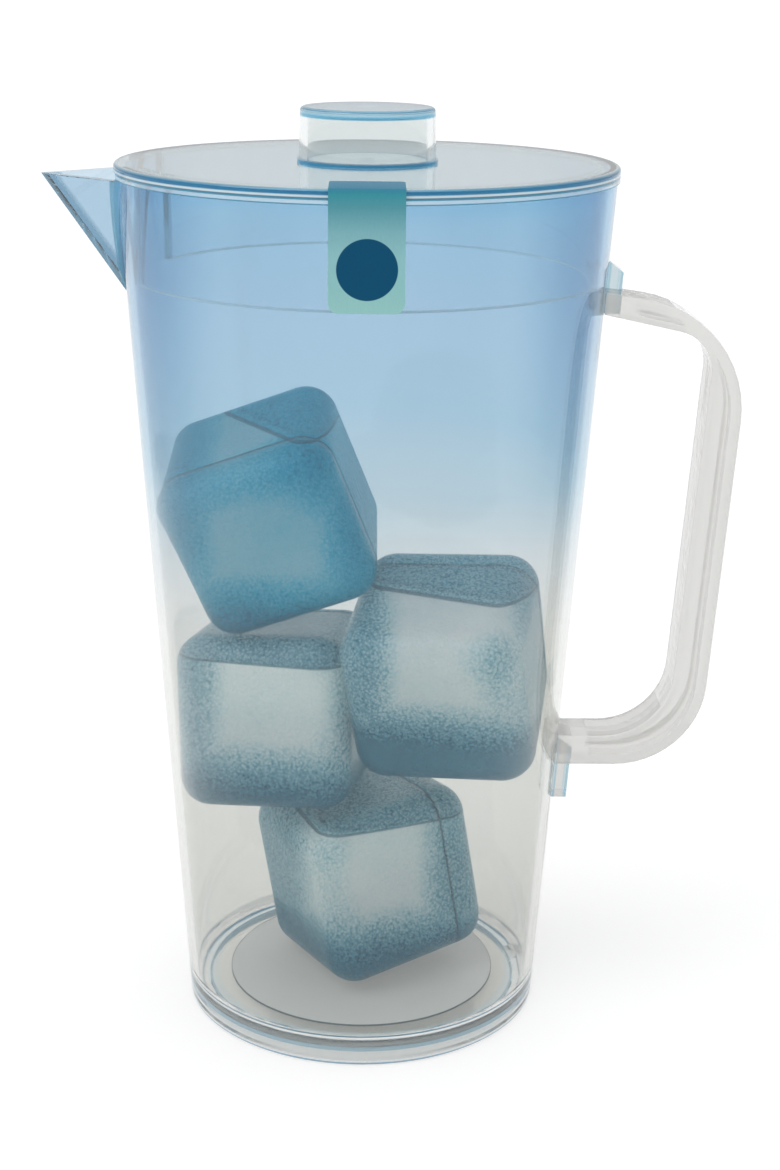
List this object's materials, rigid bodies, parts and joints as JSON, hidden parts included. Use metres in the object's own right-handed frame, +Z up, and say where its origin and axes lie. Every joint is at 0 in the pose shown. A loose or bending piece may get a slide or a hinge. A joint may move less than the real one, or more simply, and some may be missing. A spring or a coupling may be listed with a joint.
{
  "type": "lidded water pitcher",
  "caption": "Tapered clear water jug with a triangular spout, a slotted-on side handle, a lift-off turning lid with a plug skirt, and loose reusable ice cubes inside.",
  "frame": {"origin": "centre of the foot's circle, on the table", "axes": "+Z up, spout towards -X, handle towards +X; the picture looks along +Y from in front"},
  "size_m": [0.1916, 0.1366, 0.2595],
  "materials": {
    "blue_clear_plastic": "clear, blue at the rim fading to colourless",
    "grey_clear_plastic": "clear gloss",
    "lid_plastic": "clear gloss",
    "frosted_disc": "frosted",
    "printed_card": "matte, violet to aqua",
    "frosted_shell": "frosted, finely pebbled",
    "ice_filling": "clear",
    "white_plug": "matte"
  },
  "bodies": {
    "jug": {"pitcher_body": "blue_clear_plastic", "base_disc": "frosted_disc", "handle": "grey_clear_plastic"},
    "knob": {"lid_knob": "grey_clear_plastic"},
    "lid": {"lid": "lid_plastic", "hang_strip": "printed_card"},
    "ice_1": {"ice_1_tub": "frosted_shell", "ice_1_cap": "frosted_shell", "ice_1_water": "ice_filling", "ice_1_plug": "white_plug"},
    "ice_2": {"ice_2_tub": "frosted_shell", "ice_2_cap": "frosted_shell", "ice_2_water": "ice_filling", "ice_2_plug": "white_plug"},
    "ice_3": {"ice_3_tub": "frosted_shell", "ice_3_cap": "frosted_shell", "ice_3_water": "ice_filling", "ice_3_plug": "white_plug"},
    "ice_4": {"ice_4_tub": "frosted_shell", "ice_4_cap": "frosted_shell", "ice_4_water": "ice_filling", "ice_4_plug": "white_plug"}
  },
  "joints": [
    {"name": "lid_lift", "type": "slide", "parent": "jug", "child": "knob", "axis": [0, 0, 1], "range_m": [0, 0.08]},
    {"name": "lid_turn", "type": "hinge", "parent": "knob", "child": "lid", "pos_m": [0, 0, 0.245], "axis": [0, 0, 1], "range_deg": [-60, 60]},
    {"name": "ice_1_rise", "type": "slide", "parent": "jug", "child": "ice_1", "axis": [0, 0, 1], "range_m": [0, 0.014]},
    {"name": "ice_2_rise", "type": "slide", "parent": "ice_1", "child": "ice_2", "axis": [0, 0, 1], "range_m": [0, 0.014]},
    {"name": "ice_3_rise", "type": "slide", "parent": "ice_2", "child": "ice_3", "axis": [0, 0, 1], "range_m": [0, 0.014]},
    {"name": "ice_4_rise", "type": "slide", "parent": "ice_3", "child": "ice_4", "axis": [0, 0, 1], "range_m": [0, 0.015]}
  ]
}
